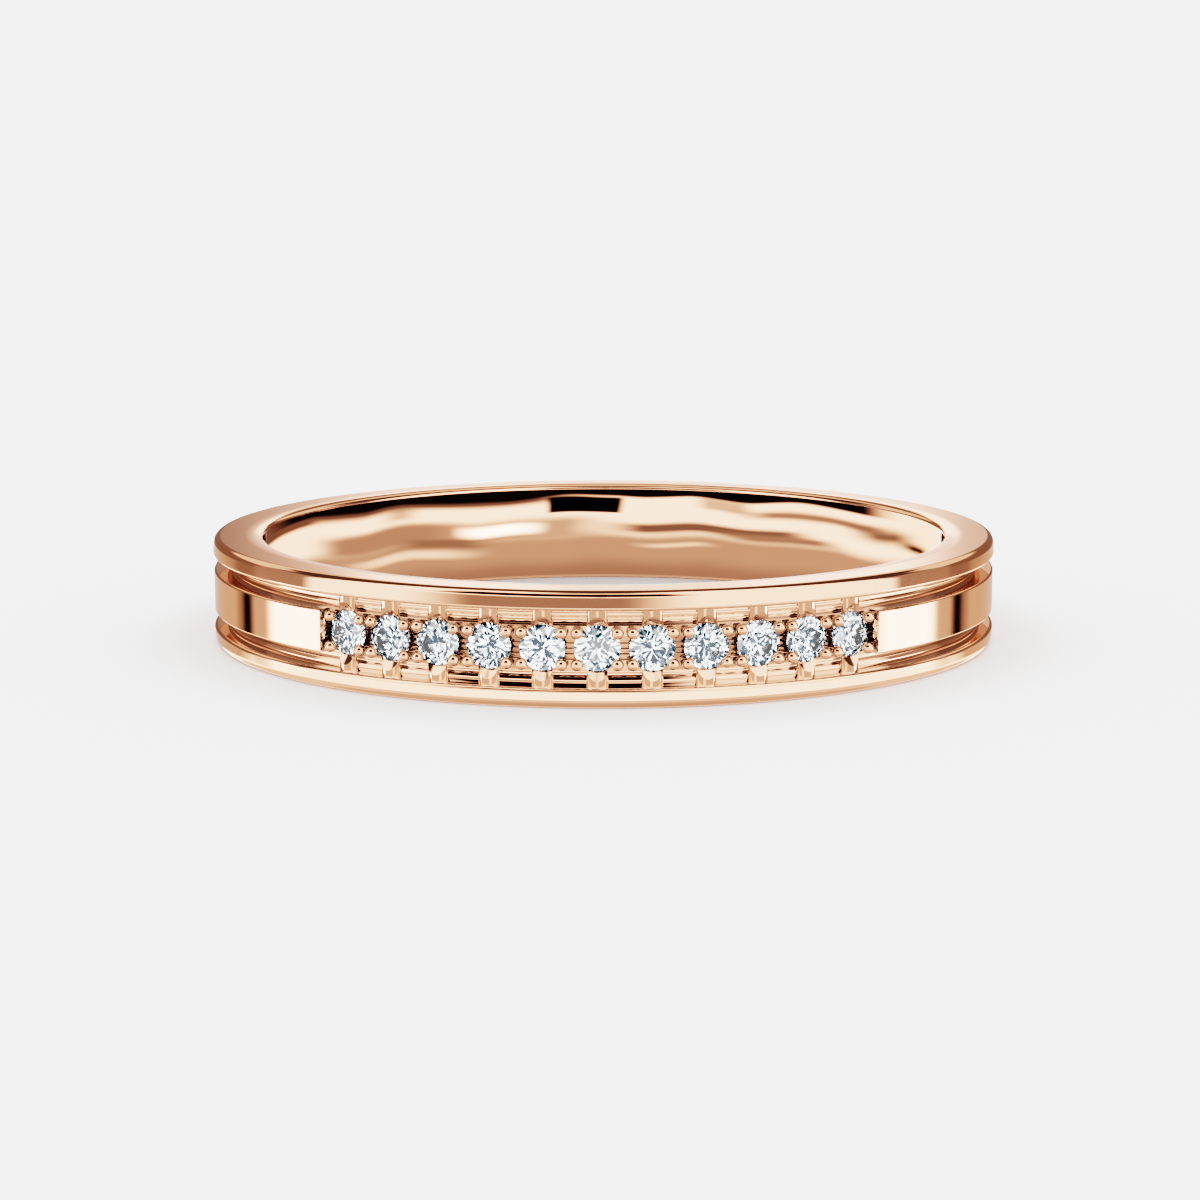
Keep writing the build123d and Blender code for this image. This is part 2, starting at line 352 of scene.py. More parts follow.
def collet_sheets(turn):
    """Block with a domed bar on top, half an ellipse, carried from the rail to the seat's surface and then
    down that surface: at a height h the seat's radius is s(h), so the cut lies where
    up = sqrt(s(h)^2 - across^2)."""
    shoulder = BAR_TOP - BAR_RISE
    corners = [(-COLLET_HALF_WIDTH, COLLET_FOOT, 0), (-COLLET_HALF_WIDTH, shoulder, 0)]
    left = rounded(corners, closed=False)
    bar = arc((0, 0), 1, np.pi, 0, BAR_COLUMNS) * (COLLET_HALF_WIDTH, BAR_RISE) + (0, shoulder)
    section = np.vstack([left[:-1], bar, left[-2::-1] * (-1, 1)])
    across, rise = section[None, :, 0], section[None, :, 1]
    cut = np.sqrt(np.maximum(seat_radius(rise) ** 2 - across**2, 0))
    part = np.linspace(0, 1, BAR_ROWS)[:, None]
    start = RAIL_INNER_Z + COLLET_BITE
    up = start + (cut - start) * part
    down = np.minimum(rise, CUT_LEVELS[:, None])
    ring = seat_radius(down)
    around = np.arctan2(across, cut)
    side = np.where(cut > 0, ring * np.sin(around), across)
    deep = np.where(cut > 0, ring * np.cos(around), 0)
    across = np.vstack([np.broadcast_to(across, up.shape), side])
    up = np.vstack([up, deep])
    rise = np.vstack([np.broadcast_to(rise, (BAR_ROWS, rise.size)), down])
    faces = grid_faces(*up.shape)
    return [(on_stone(across, up, rise, turn), faces), (on_stone(across, -up, rise, turn), faces[:, ::-1])]


def bead_sheets(turn):
    """Ball on a pin: (b sin a, b cos a) down to the pin, then the pin's wall. What would lie
    inside the stone is lifted to its crown or pushed out to its girdle."""
    low = np.pi - np.arcsin(PIN_R / BEAD_R)
    fall = np.linspace(0, low, BEAD_ROWS)
    out = np.append(BEAD_R * np.sin(fall), [PIN_R, PIN_R, 0])
    rise = np.append(BEAD_RISE + BEAD_R * np.cos(fall), [-0.05, PIN_FOOT, PIN_FOOT])
    angle = np.linspace(0, 2 * np.pi, BEAD_COLUMNS, endpoint=False)[None, :]
    sheets = []
    for across in (-BEAD_X, BEAD_X):
        for up in (-BEAD_Z, BEAD_Z):
            x = across + out[:, None] * np.cos(angle)
            z = up + out[:, None] * np.sin(angle)
            h = np.broadcast_to(rise[:, None], x.shape)
            away = np.hypot(x, z)
            crown = GIRDLE_HALF + (STONE_R - away) * CROWN_RISE
            over = (away < STONE_R) & (h > 0) & (h < crown)
            under = (away < STONE_R) & (h <= 0) & (h > -0.2)
            push = np.where(under, (STONE_R + 0.002) / away, 1)
            h = np.where(over, crown, h)
            sheets.append((on_stone(x * push, z * push, h, turn), grid_faces(*x.shape, False, True)))
    return sheets


# ---------------------------------------------------------------- node helpers
def fresh_tree(owner):
    """The owner's node tree, emptied."""
    owner.use_nodes = True
    owner.node_tree.nodes.clear()
    return owner.node_tree


def feed(tree, socket, value):
    """Sets a socket to a number or colour, or links another socket to it."""
    if isinstance(value, bpy.types.NodeSocket):
        tree.links.new(value, socket)
    else:
        socket.default_value = value


def sum_up(tree, operation, *values):
    """Result of a Math node."""
    node = tree.nodes.new("ShaderNodeMath")
    node.operation = operation
    for socket, value in zip(node.inputs, values):
        feed(tree, socket, value)
    return node.outputs[0]


def remap(tree, value, low, high, to_low=0.0, to_high=1.0):
    """Smooth step of the value from low to high."""
    node = tree.nodes.new("ShaderNodeMapRange")
    node.interpolation_type = "SMOOTHSTEP"
    numbers = {"Value": value, "From Min": low, "From Max": high, "To Min": to_low, "To Max": to_high}
    for name, number in numbers.items():
        feed(tree, node.inputs[name], number)
    return node.outputs[0]


def axis_distance(tree, place):
    """Distance of a place from the ring's axis, in millimetres."""
    flat = tree.nodes.new("ShaderNodeVectorMath")
    flat.operation = "MULTIPLY"
    flat.inputs[1].default_value = (1 / MM, 1 / MM, 0.0)
    tree.links.new(place, flat.inputs[0])
    length = tree.nodes.new("ShaderNodeVectorMath")
    length.operation = "LENGTH"
    tree.links.new(flat.outputs[0], length.inputs[0])
    return length.outputs["Value"]


def polish_group():
    """Node group: how a hand-polished surface wanders from perfect. Puts out a roughness and a
    height for a Bump node, both from noise on object coordinates."""
    group = bpy.data.node_groups.get("Hand Polish")
    if group:
        return group
    group = bpy.data.node_groups.new("Hand Polish", "ShaderNodeTree")
    for name, default in (("Roughness", 0.05), ("Variation", 0.3), ("Scale", 900.0)):
        socket = group.interface.new_socket(name=name, in_out="INPUT", socket_type="NodeSocketFloat")
        socket.default_value = default
    for name in ("Roughness", "Height"):
        group.interface.new_socket(name=name, in_out="OUTPUT", socket_type="NodeSocketFloat")
    source = group.nodes.new("NodeGroupInput")
    target = group.nodes.new("NodeGroupOutput")
    place = group.nodes.new("ShaderNodeTexCoord")
    broad = group.nodes.new("ShaderNodeTexNoise")
    group.links.new(place.outputs["Object"], broad.inputs["Vector"])
    group.links.new(source.outputs["Scale"], broad.inputs["Scale"])
    broad.inputs["Detail"].default_value = 3.0
    swing = sum_up(group, "SUBTRACT", broad.outputs[0], 0.5)
    swing = sum_up(group, "MULTIPLY", swing, source.outputs["Variation"])
    factor = sum_up(group, "ADD", swing, 1.0)
    roughness = sum_up(group, "MULTIPLY", factor, source.outputs["Roughness"])
    group.links.new(roughness, target.inputs["Roughness"])
    group.links.new(broad.outputs[0], target.inputs["Height"])
    return group


def painted_shade_group():
    """Node group: painted shade that darkens the colour of what lies deep between the pieces. The colour
    factor rises smoothly from Shade at the Deep distance from the ring's axis to 1 at the Proud distance."""
    group = bpy.data.node_groups.get("Painted Recess Shade")
    if group:
        return group
    group = bpy.data.node_groups.new("Painted Recess Shade", "ShaderNodeTree")
    for name, default in (("Deep", 9.05), ("Proud", 9.15), ("Shade", 0.4)):
        socket = group.interface.new_socket(name=name, in_out="INPUT", socket_type="NodeSocketFloat")
        socket.default_value = default
    group.interface.new_socket(name="Factor", in_out="OUTPUT", socket_type="NodeSocketFloat")
    source = group.nodes.new("NodeGroupInput")
    target = group.nodes.new("NodeGroupOutput")
    place = group.nodes.new("ShaderNodeTexCoord")
    radius = axis_distance(group, place.outputs["Object"])
    deep, proud, shade = source.outputs["Deep"], source.outputs["Proud"], source.outputs["Shade"]
    factor = remap(group, radius, deep, proud, shade, 1.0)
    group.links.new(factor, target.inputs["Factor"])
    return group


GRAZE = 0.473                        # Schlick's (1 - cos 82 degrees) to the fifth
EDGE_HOLD = 0.342                    # keeps the colour level out to a grazing view
SECOND_BOUNCE = (0.70, 0.74, 0.76)   # painted reflection colour: gold seen in another gold face's reflection
DIAMOND_IOR = 2.417

# Hand polish of the faces and of graver-cut metal: variation of the roughness, scale, relief.
FACE_POLISH = (0.3, 700.0, 0.01)
CUT_POLISH = (0.5, 4000.0, 0.05)
RELIEF_DEPTH = 0.00001

# Painted recess shade, darkening the colour in the hollows: deep and proud distance from the ring's axis,
# then shade.
DECK_PAINTED_SHADE = (9.04, 9.13, 0.70)
BEAD_PAINTED_SHADE = (9.245, 9.28, 0.55)


def gold_material(name, colour, roughness, touch, painted_shade=None):
    """Polished rose gold with the hand-polish group on roughness and bump, and the painted
    recess shade group, if asked for, on its colour."""
    variation, scale, relief = touch
    material = bpy.data.materials.get(name) or bpy.data.materials.new(name)
    tree = fresh_tree(material)
    output = tree.nodes.new("ShaderNodeOutputMaterial")
    shader = tree.nodes.new("ShaderNodeBsdfPrincipled")
    polish = tree.nodes.new("ShaderNodeGroup")
    polish.node_tree = polish_group()
    polish.inputs["Roughness"].default_value = roughness
    polish.inputs["Variation"].default_value = variation
    polish.inputs["Scale"].default_value = scale
    bump = tree.nodes.new("ShaderNodeBump")
    bump.inputs["Strength"].default_value = relief
    bump.inputs["Distance"].default_value = RELIEF_DEPTH
    colour = np.array(colour)
    edge = 1 - EDGE_HOLD * (1 - colour) / (colour + (1 - colour) * GRAZE)
    # Painted reflection colour: gold seen by a glossy ray, in another gold face, takes SECOND_BOUNCE
    # instead of its own colour.
    path = tree.nodes.new("ShaderNodeLightPath")
    paler = tree.nodes.new("ShaderNodeMix")
    paler.data_type = "RGBA"
    tree.links.new(path.outputs["Is Glossy Ray"], paler.inputs["Factor"])
    colour_sockets = [socket for socket in paler.inputs if socket.type == "RGBA"]
    colour_sockets[0].default_value = (*colour, 1.0)
    colour_sockets[1].default_value = (*SECOND_BOUNCE, 1.0)
    mixed = next(socket for socket in paler.outputs if socket.type == "RGBA")
    # Painted shade: the colour is darkened towards the ring's axis, in the hollows between the pieces.
    if painted_shade:
        shade = tree.nodes.new("ShaderNodeGroup")
        shade.node_tree = painted_shade_group()
        for name, number in zip(("Deep", "Proud", "Shade"), painted_shade):
            shade.inputs[name].default_value = number
        dim = tree.nodes.new("ShaderNodeVectorMath")
        dim.operation = "SCALE"
        tree.links.new(mixed, dim.inputs[0])
        tree.links.new(shade.outputs["Factor"], dim.inputs["Scale"])
        mixed = dim.outputs[0]
    tree.links.new(mixed, shader.inputs["Base Color"])
    shader.inputs["Specular Tint"].default_value = (*edge, 1.0)
    shader.inputs["Metallic"].default_value = 1.0
    tree.links.new(polish.outputs["Roughness"], shader.inputs["Roughness"])
    tree.links.new(polish.outputs["Height"], bump.inputs["Height"])
    tree.links.new(bump.outputs["Normal"], shader.inputs["Normal"])
    tree.links.new(shader.outputs["BSDF"], output.inputs["Surface"])
    return material


def diamond_material(tint):
    """Clear stone with a high refractive index."""
    material = bpy.data.materials.get("Diamond") or bpy.data.materials.new("Diamond")
    tree = fresh_tree(material)
    output = tree.nodes.new("ShaderNodeOutputMaterial")
    shader = tree.nodes.new("ShaderNodeBsdfPrincipled")
    shader.inputs["Base Color"].default_value = (*tint, 1.0)
    shader.inputs["Roughness"].default_value = 0.0
    shader.inputs["IOR"].default_value = DIAMOND_IOR
    shader.inputs["Transmission Weight"].default_value = 1.0
    tree.links.new(shader.outputs["BSDF"], output.inputs["Surface"])
    return material


# ---------------------------------------------------------------- studio
# Reflected studio. Each panel: whether it is repeated on the other side, azimuth from the
# front, half width and softness, elevation, half height and softness, all in degrees, then
# brightness. Later panels lie over earlier ones.
PANELS = (
    (True, 46, 46, 6, 36, 42, 5, 2.6),          # tall side lights
    (False, -15, 33, 26, -1.5, 4.5, 3, 0.38),   # shaded front
    (False, -12, 38, 14, 35, 21, 4, 0.01),      # dark opening above it
    (False, -5, 25, 16, 69, 9, 5, 0.9),         # dim ceiling
    (True, 90, 91, 1, 88, 5, 4, 0.01),          # dark zenith
    (True, 140, 46, 8, 54, 28, 8, 0.10),        # dark back wall
    (True, 150, 31, 4, 27, 9, 4, 1.2),          # lit strip under it
    (True, 150, 31, 4, 6, 12, 4, 0.24),         # low back wall
    (True, 180, 6, 8, 0, 12, 4, 1.9),           # back window
    (True, 176.2, 1.8, 2, 10.5, 2.5, 2, 3.0),   # its bright top
    (True, 90, 91, 1, -80, 14, 8, 0.6),         # under the ring
    (True, 90, 91, 1, -56, 12, 8, 0.75),        # the table in front of it, far to near
    (True, 90, 91, 1, -34, 12, 4, 1.15),
    (True, 90, 91, 1, -18, 4.2, 2, 3.1),        # bright table
    (True, 43, 44, 4, -10.5, 3.2, 2, 0.80),     # table's edge
    (True, 0, 9, 14, -10.5, 3.2, 2, 1.9),       # and the lamp over it
    (True, 99, 13, 14, -10.5, 4, 3, 6.5),       # sweep beside the band
    (True, 117, 5, 6, -10.5, 4, 3, 0.75),       # shade either side of the post
    (True, 158, 25, 6, -10.5, 4, 3, 0.75),
    (True, 125.5, 3, 5, -10.5, 2.6, 1.5, 0.01),  # dark post
)

# Painted reflection: glowing card inside the finger hole, seen only by the bore, whose panels paint the
# shapes
# the bore reflects: turn from the back, half width and softness in degrees, height above the middle, half
# height and softness in thirtieths of a millimetre, then brightness.
PAINTED_REFLECTION_PANELS = (
    (False, 0, 100, 1, -22, 20, 10, 0.50),      # tan lower half
    (False, 5, 50, 30, -42, 16, 16, 0.32),
    (False, -30, 27, 14, 3, 9, 8, 0.62),        # brown shapes on the left
    (False, -46, 15, 14, 4, 8, 8, 0.40),
    (False, -33, 9, 10, -5, 3.5, 4, 0.28),
    (False, -40, 12, 14, -14, 3, 5, 1.5),       # pale patches
    (False, -42, 3, 6, 21, 5, 6, 0.9),
    (False, 12, 6, 8, -10.5, 1.5, 3, 1.3),
    (False, 22, 5, 5, 24, 4.5, 4, 0.85),
    (False, 19, 19, 12, 3.5, 4, 5, 0.20),       # brown lines on the right
    (False, 34, 12, 12, 0, 3, 5, 0.34),
    (False, 43, 17, 12, 19, 3, 5, 0.36),
    (False, 60, 8, 12, 15, 5, 9, 0.24),
    (False, 70, 5, 8, 10, 3, 6, 0.03),
    (False, -21.5, 5.5, 9, 4, 3.5, 6, 7.5),     # painted reflection of a lamp
    (False, -75, 14, 10, 30, 8, 5, 0.14),       # dark strip along the top, brown below it
    (False, -46, 38, 16, 28, 4, 6, 0.18),
    (False, -8, 68, 14, 34.5, 6.2, 3, 0.01),
    (False, -6.2, 7.1, 2, 21.5, 6.2, 2, 0.0),   # dark window
)
CARD_UNIT = 30.0                    # height steps in a millimetre
CARD_R = 8.18
CARD_TOP = 1.16
PAINTED_REFLECTION_BASE = 2.5                     # painted reflection brightness between the panels
CARD_DRIFT = 12.0                   # how far the card's soft shapes wander
CARD_WAVES = (260.0, 330.0)         # scale of that wander round the ring and in height


def panel_level(tree, azimuth, elevation, panel, behind):
    """Brightness after laying one panel over what is behind it."""
    mirrored, middle, half_width, side_soft, height, half_height, end_soft, level = panel
    if mirrored:
        azimuth = sum_up(tree, "ABSOLUTE", azimuth)
    sides = sum_up(tree, "ABSOLUTE", sum_up(tree, "SUBTRACT", azimuth, middle))
    ends = sum_up(tree, "ABSOLUTE", sum_up(tree, "SUBTRACT", elevation, height))
    in_width = remap(tree, sides, half_width + side_soft / 2, half_width - side_soft / 2)
    in_height = remap(tree, ends, half_height + end_soft / 2, half_height - end_soft / 2)
    mask = sum_up(tree, "MULTIPLY", in_width, in_height)
    change = sum_up(tree, "MULTIPLY", mask, sum_up(tree, "SUBTRACT", level, behind))
    return sum_up(tree, "ADD", behind, change)


COOL_FILL = (0.02, 0.07, 0.11, 1.0)  # faint sky light that only the stones pick up
GRID_SCALE = 7.0                     # lamps and gaps that the stones pick up, as cells
GRID_DARK = 0.45                     # share of the cells that are gaps
GRID_FADE = 0.2                      # and share between gap and lamp
GRID_LEVEL = 5.4


def studio_world(paper, base, power):
    """Camera and scattered light see plain paper; polished metal and stones see the panels."""
    world = bpy.data.worlds.new("Studio")
    bpy.context.scene.world = world
    tree = fresh_tree(world)
    place = tree.nodes.new("ShaderNodeTexCoord")
    split = tree.nodes.new("ShaderNodeSeparateXYZ")
    tree.links.new(place.outputs["Generated"], split.inputs[0])
    x, y, z = split.outputs
    azimuth = sum_up(tree, "ARCTAN2", x, sum_up(tree, "MULTIPLY", y, -1.0))
    azimuth = sum_up(tree, "DEGREES", azimuth)
    elevation = sum_up(tree, "DEGREES", sum_up(tree, "ARCSINE", z))
    level = base
    for panel in PANELS:
        level = panel_level(tree, azimuth, elevation, panel, level)
    level = sum_up(tree, "MULTIPLY", level, power)
    cells = tree.nodes.new("ShaderNodeTexVoronoi")
    cells.inputs["Scale"].default_value = GRID_SCALE
    tree.links.new(place.outputs["Generated"], cells.inputs["Vector"])
    pick = tree.nodes.new("ShaderNodeSeparateColor")
    tree.links.new(cells.outputs["Color"], pick.inputs[0])
    spark = remap(tree, pick.outputs[0], GRID_DARK, GRID_DARK + GRID_FADE, 0.0, GRID_LEVEL)
    path = tree.nodes.new("ShaderNodeLightPath")
    through = path.outputs["Is Transmission Ray"]
    change = sum_up(tree, "MULTIPLY", through, sum_up(tree, "SUBTRACT", spark, level))
    level = sum_up(tree, "ADD", level, change)
    seen = sum_up(tree, "MAXIMUM", path.outputs["Is Glossy Ray"], through)
    seen = sum_up(tree, "MULTIPLY", seen, sum_up(tree, "SUBTRACT", 1.0, path.outputs["Is Camera Ray"]))
    change = sum_up(tree, "MULTIPLY", seen, sum_up(tree, "SUBTRACT", level, paper))
    background = tree.nodes.new("ShaderNodeBackground")
    tree.links.new(sum_up(tree, "ADD", paper, change), background.inputs["Strength"])
    cool = tree.nodes.new("ShaderNodeBackground")
    cool.inputs["Color"].default_value = COOL_FILL
    tree.links.new(through, cool.inputs["Strength"])
    both = tree.nodes.new("ShaderNodeAddShader")
    tree.links.new(background.outputs[0], both.inputs[0])
    tree.links.new(cool.outputs[0], both.inputs[1])
    output = tree.nodes.new("ShaderNodeOutputWorld")
    tree.links.new(both.outputs[0], output.inputs["Surface"])
    return world


# ---------------------------------------------------------------- properties
class BandSizes(bpy.types.PropertyGroup):
    """Sizes of the ring and of its row of stones."""

    bore_radius: FloatProperty(
        name="Finger hole radius",
        description="Radius of the straight bore",
        default=BORE["dims"]["r_mm"] * MM,
        min=0.005,
        max=0.0086,
        unit="LENGTH",
    )
    stone_pitch: FloatProperty(
        name="Stone pitch",
        description="Turn about the ring's axis from one stone to the next",
        default=np.radians(7.4),
        subtype="ANGLE",
        unit="ROTATION",
    )
    steps: IntProperty(
        name="Steps round the ring",
        description="Number of segments in one full turn of the swept pieces",
        default=720,
        min=90,
        max=1440,
    )


class BandFinish(bpy.types.PropertyGroup):
    """Colours and polish of the gold and of the stones."""

    gold: FloatVectorProperty(
        name="Rose gold",
        description="Reflected colour of the alloy, scene linear",
        default=(0.95, 0.44, 0.27),
        size=3,
        min=0.0,
        max=1.0,
        subtype="COLOR",
    )
    roughness: FloatProperty(
        name="Polish",
        description="Roughness of the polished faces",
        default=0.05,
        min=0.0,
        max=1.0,
        subtype="FACTOR",
    )
    cut_roughness: FloatProperty(
        name="Cut polish",
        description="Roughness of the graver-cut deck, collets and beads",
        default=0.06,
        min=0.0,
        max=1.0,
        subtype="FACTOR",
    )
    stone: FloatVectorProperty(
        name="Stone tint",
        description="Colour that the stones pass on",
        default=(0.93, 0.97, 1.0),
        size=3,
        min=0.0,
        max=1.0,
        subtype="COLOR",
    )


class StageLight(bpy.types.PropertyGroup):
    """Paper, light and camera."""

    paper: FloatProperty(
        name="Paper brightness",
        description="Radiance of the plain backdrop",
        default=2.40,
        min=0.0,
    )
    power: FloatProperty(
        name="Studio power",
        description="Strength of everything that the metal and the stones see",
        default=1.18,
        min=0.0,
    )
    shade: FloatProperty(
        name="Studio shade",
        description="Radiance of the studio between its lights, as the metal sees it",
        default=0.40,
        min=0.0,
    )
    distance: FloatProperty(
        name="Camera distance",
        description="From the camera to the middle of the ring",
        default=0.0704,
        unit="LENGTH",
    )
    elevation: FloatProperty(
        name="Camera elevation",
        description="Angle of the camera above the finger hole's middle plane",
        default=np.radians(9.22),
        subtype="ANGLE",
        unit="ROTATION",
    )
    azimuth: FloatProperty(
        name="Camera azimuth",
        description="Turn of the camera from the front towards +X",
        default=np.radians(0.84),
        subtype="ANGLE",
        unit="ROTATION",
    )


# ---------------------------------------------------------------- operators
def stone_turns(sizes):
    """Turn of every stone, the middle one at 0."""
    return (np.arange(STONE_COUNT) - (STONE_COUNT - 1) / 2) * sizes.stone_pitch


def polished(finish):
    """Gold of the rails, grooves, sleeve and centre band."""
    return gold_material("Rose Gold Polished", finish.gold, finish.roughness, FACE_POLISH)


def cut(finish):
    """Gold of the deck and collets, with painted shade darkening the deck's lines."""
    return gold_material("Rose Gold Cut", finish.gold, finish.cut_roughness, CUT_POLISH, DECK_PAINTED_SHADE)


def beaded(finish):
    """Gold of the beads, with painted shade darkening them where they meet the deck."""
    return gold_material("Rose Gold Beads", finish.gold, finish.cut_roughness, CUT_POLISH, BEAD_PAINTED_SHADE)


class BAND_OT_sleeve(bpy.types.Operator):
    """Build the inner sleeve with its rolled edges"""

    bl_idname = "band.sleeve"
    bl_label = "Sleeve"

    def execute(self, context):
        sizes = context.scene.band_sizes
        outline = sleeve_outline(sizes.bore_radius / MM)
        piece = make_piece("Sleeve", [lathe(outline, sizes.steps)], polished(context.scene.band_finish))
        settle(piece, "rose_gold_polished", "sleeve")
        return {"FINISHED"}


class BAND_OT_rails(bpy.types.Operator):
    """Build the two rails and the stepped groove floors beside them"""

    bl_idname = "band.rails"
    bl_label = "Rails and Grooves"

    def execute(self, context):
        steps = context.scene.band_sizes.steps
        material = polished(context.scene.band_finish)
        for side, word in ((1, "upper"), (-1, "lower")):
            rail = make_piece(f"{word.title()}_Rail", [lathe(rail_outline(side), steps)], material)
            settle(rail, "rose_gold_polished", f"{word}_rail")
            floor = make_piece(f"{word.title()}_Groove", [lathe(step_outline(side), steps)], material)
            settle(floor, "rose_gold_polished", f"{word}_step_wire")
        return {"FINISHED"}


class BAND_OT_centre_band(bpy.types.Operator):
    """Build the flat band between the grooves, from one end of the row to the other"""

    bl_idname = "band.centre_band"
    bl_label = "Centre Band"

    def execute(self, context):
        sheets = band_sheets(context.scene.band_sizes.steps)
        piece = make_piece("Centre_Band", sheets, polished(context.scene.band_finish))
        settle(piece, "rose_gold_polished", "centre_band")
        return {"FINISHED"}


class BAND_OT_deck(bpy.types.Operator):
    """Build the reeded deck and the stones' seats"""

    bl_idname = "band.deck"
    bl_label = "Stone Deck"

    def execute(self, context):
        sheets = deck_sheets(stone_turns(context.scene.band_sizes))
        piece = make_piece("Stone_Deck", sheets, cut(context.scene.band_finish))
        settle(piece, "rose_gold_cut", "stone_deck")
        return {"FINISHED"}


class BAND_OT_settings(bpy.types.Operator):
    """Build a collet and four beads for every stone"""

    bl_idname = "band.settings"
    bl_label = "Collets and Beads"

    def execute(self, context):
        collet_gold = cut(context.scene.band_finish)
        bead_gold = beaded(context.scene.band_finish)
        for number, turn in enumerate(stone_turns(context.scene.band_sizes), start=1):
            collet = make_piece(f"Collet_{number:02d}", collet_sheets(turn), collet_gold)
            settle(collet, "rose_gold_cut", f"collet_{number:02d}")
            beads = make_piece(f"Beads_{number:02d}", bead_sheets(turn), bead_gold)
            settle(beads, "rose_gold_cut", f"beads_{number:02d}")
        return {"FINISHED"}


class BAND_OT_stones(bpy.types.Operator):
    """Give the cut stones their material"""

    bl_idname = "band.stones"
    bl_label = "Stones"

    def execute(self, context):
        material = diamond_material(context.scene.band_finish.stone)
        for number in range(1, STONE_COUNT + 1):
            stone = frame["nodes"][f"diamond_{number:02d}"]
            stone.data.materials.clear()
            stone.data.materials.append(material)
        return {"FINISHED"}


# Paper's painted shadow: tone painted inside the finger hole, how much lighter it gets across the ring's
# foot and then out to the end of the painted shadow, and the widths of both, in millimetres.
PAINTED_HOLE_SHADE = 0.45
CONTACT_LIFT = 0.36
CONTACT_INSIDE = 0.35
CONTACT_OUTSIDE = 0.15
SHADOW_LIFT = 0.19
SHADOW_REACH = 3.2
FLOOR_REACH = 5.0                    # metres from the ring to the paper's edges

LENS = 86.3
SENSOR = 36.0
SHIFT = (-0.0030, -0.0169)
CLIP = (0.001, 50.0)


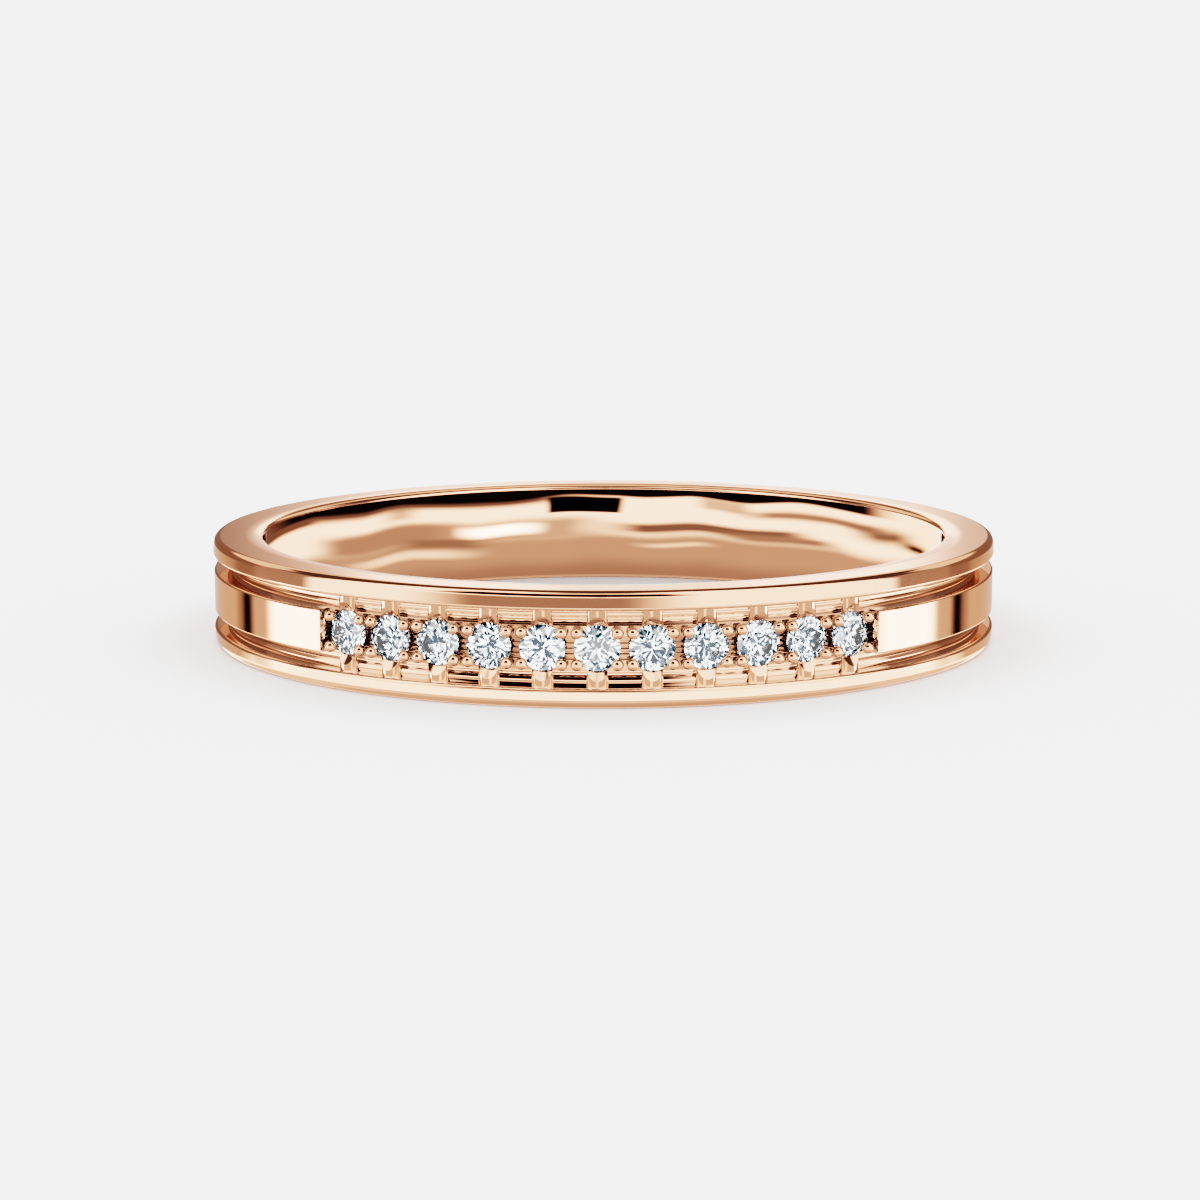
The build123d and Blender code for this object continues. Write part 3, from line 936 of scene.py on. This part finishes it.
class BAND_OT_stage(bpy.types.Operator):
    """Set the paper floor, the studio light, the film look and the camera"""

    bl_idname = "band.stage"
    bl_label = "Stage and Camera"

    def execute(self, context):
        scene = context.scene
        light = scene.band_stage
        world = studio_world(light.paper, light.shade, light.power)
        world.cycles.sampling_method = "NONE"
        self.floor()
        self.painted_reflection_card(light.power)
        self.camera(scene, light)
        scene.view_settings.view_transform = "Filmic"
        scene.view_settings.look = "Very High Contrast"
        return {"FINISHED"}

    def floor(self):
        """White paper under the ring, which polished metal and stones don't see. The ring casts its own
        soft shadow on it, and more shade is painted into its colour: darkest inside the finger hole, with
        a painted soft shadow fading out round the ring."""
        material = bpy.data.materials.new("Paper")
        tree = fresh_tree(material)
        output = tree.nodes.new("ShaderNodeOutputMaterial")
        shader = tree.nodes.new("ShaderNodeBsdfDiffuse")
        place = tree.nodes.new("ShaderNodeTexCoord")
        radius = axis_distance(tree, place.outputs["Object"])
        # Painted shadow: the paper's colour darkens inside the finger hole and round the ring's foot.
        near = remap(tree, radius, OUTER_R - CONTACT_INSIDE, OUTER_R + CONTACT_OUTSIDE)
        far = remap(tree, radius, OUTER_R, OUTER_R + SHADOW_REACH)
        shade = sum_up(tree, "ADD", sum_up(tree, "MULTIPLY", near, CONTACT_LIFT), PAINTED_HOLE_SHADE)
        shade = sum_up(tree, "ADD", shade, sum_up(tree, "MULTIPLY", far, SHADOW_LIFT))
        tree.links.new(shade, shader.inputs["Color"])
        tree.links.new(shader.outputs[0], output.inputs["Surface"])
        corners = np.array([[-1, -1, 0], [1, -1, 0], [1, 1, 0], [-1, 1, 0]]) * FLOOR_REACH
        corners[:, 2] = -HALF * MM
        mesh = bpy.data.meshes.new("Paper_Floor")
        mesh.from_pydata(corners.tolist(), [], [(0, 1, 2, 3)])
        mesh.materials.append(material)
        floor = bpy.data.objects.new("Paper_Floor", mesh)
        bpy.context.scene.collection.objects.link(floor)
        floor.visible_glossy = False
        floor.visible_transmission = False

    def painted_reflection_card(self, power):
        """Painted reflection: a glowing card just inside the finger hole that only polished metal sees, a
        tube whose glow is laid out in panels to paint the soft shapes on the bore's far wall."""
        material = bpy.data.materials.new("Painted_Bore_Reflection")
        material.cycles.emission_sampling = "NONE"
        tree = fresh_tree(material)
        place = tree.nodes.new("ShaderNodeTexCoord")
        split = tree.nodes.new("ShaderNodeSeparateXYZ")
        tree.links.new(place.outputs["Object"], split.inputs[0])
        x, y, z = split.outputs
        turn = sum_up(tree, "DEGREES", sum_up(tree, "ARCTAN2", x, y))
        height = sum_up(tree, "MULTIPLY", z, CARD_UNIT / MM)
        drifts = []
        for scale in CARD_WAVES:
            noise = tree.nodes.new("ShaderNodeTexNoise")
            noise.inputs["Scale"].default_value = scale
            noise.inputs["Detail"].default_value = 1.0
            tree.links.new(place.outputs["Object"], noise.inputs["Vector"])
            swing = sum_up(tree, "SUBTRACT", noise.outputs[0], 0.5)
            drifts.append(sum_up(tree, "MULTIPLY", swing, CARD_DRIFT))
        turn = sum_up(tree, "ADD", turn, drifts[0])
        height = sum_up(tree, "ADD", height, drifts[1])
        level = PAINTED_REFLECTION_BASE
        for panel in PAINTED_REFLECTION_PANELS:
            level = panel_level(tree, turn, height, panel, level)
        glow = tree.nodes.new("ShaderNodeEmission")
        tree.links.new(sum_up(tree, "MULTIPLY", level, power), glow.inputs["Strength"])
        output = tree.nodes.new("ShaderNodeOutputMaterial")
        tree.links.new(glow.outputs[0], output.inputs["Surface"])
        height = np.array([-HALF, CARD_TOP])[None, :]
        around = np.linspace(0, 2 * np.pi, CARD_COLUMNS, endpoint=False)[:, None]
        points = around_axis(CARD_R, around, height)
        card = make_piece("Painted_Bore_Reflection_Card", [(points, grid_faces(CARD_COLUMNS, 2, True))], material)
        card.visible_camera = False
        card.visible_diffuse = False
        card.visible_transmission = False
        card.visible_shadow = False

    def camera(self, scene, light):
        """Long lens above the front, shifted a little to frame the ring."""
        data = bpy.data.cameras.new("Camera")
        camera = bpy.data.objects.new("Camera", data)
        scene.collection.objects.link(camera)
        data.lens = LENS
        data.sensor_width = SENSOR
        data.clip_start, data.clip_end = CLIP
        data.shift_x, data.shift_y = SHIFT
        level = np.cos(light.elevation)
        back = np.array(
            [np.sin(light.azimuth) * level, -np.cos(light.azimuth) * level, np.sin(light.elevation)]
        )
        camera.location = back * light.distance
        camera.rotation_euler = (np.pi / 2 - light.elevation, 0.0, light.azimuth)
        scene.camera = camera


class BAND_PT_panel(bpy.types.Panel):
    """Sidebar list of the pieces and their settings"""

    bl_idname = "BAND_PT_panel"
    bl_label = "Wedding Band"
    bl_space_type = "VIEW_3D"
    bl_region_type = "UI"
    bl_category = "Wedding Band"

    def draw(self, context):
        layout = self.layout
        for settings in (context.scene.band_sizes, context.scene.band_finish, context.scene.band_stage):
            for name in settings.__annotations__:
                layout.prop(settings, name)
        for operator in OPERATORS:
            layout.operator(operator.bl_idname)


OPERATORS = (
    BAND_OT_sleeve,
    BAND_OT_rails,
    BAND_OT_centre_band,
    BAND_OT_deck,
    BAND_OT_settings,
    BAND_OT_stones,
    BAND_OT_stage,
)
CLASSES = (BandSizes, BandFinish, StageLight, *OPERATORS, BAND_PT_panel)


def register():
    """Adds the classes and hangs the settings on the scene."""
    for item in CLASSES:
        bpy.utils.register_class(item)
    bpy.types.Scene.band_sizes = PointerProperty(type=BandSizes)
    bpy.types.Scene.band_finish = PointerProperty(type=BandFinish)
    bpy.types.Scene.band_stage = PointerProperty(type=StageLight)


def unregister():
    """Takes the settings and the classes away again."""
    del bpy.types.Scene.band_stage
    del bpy.types.Scene.band_finish
    del bpy.types.Scene.band_sizes
    for item in reversed(CLASSES):
        bpy.utils.unregister_class(item)


def main():
    """Builds every piece and the stage."""
    register()
    bpy.ops.band.sleeve()
    bpy.ops.band.rails()
    bpy.ops.band.centre_band()
    bpy.ops.band.deck()
    bpy.ops.band.settings()
    bpy.ops.band.stones()
    bpy.ops.band.stage()


if __name__ == "__main__":
    main()
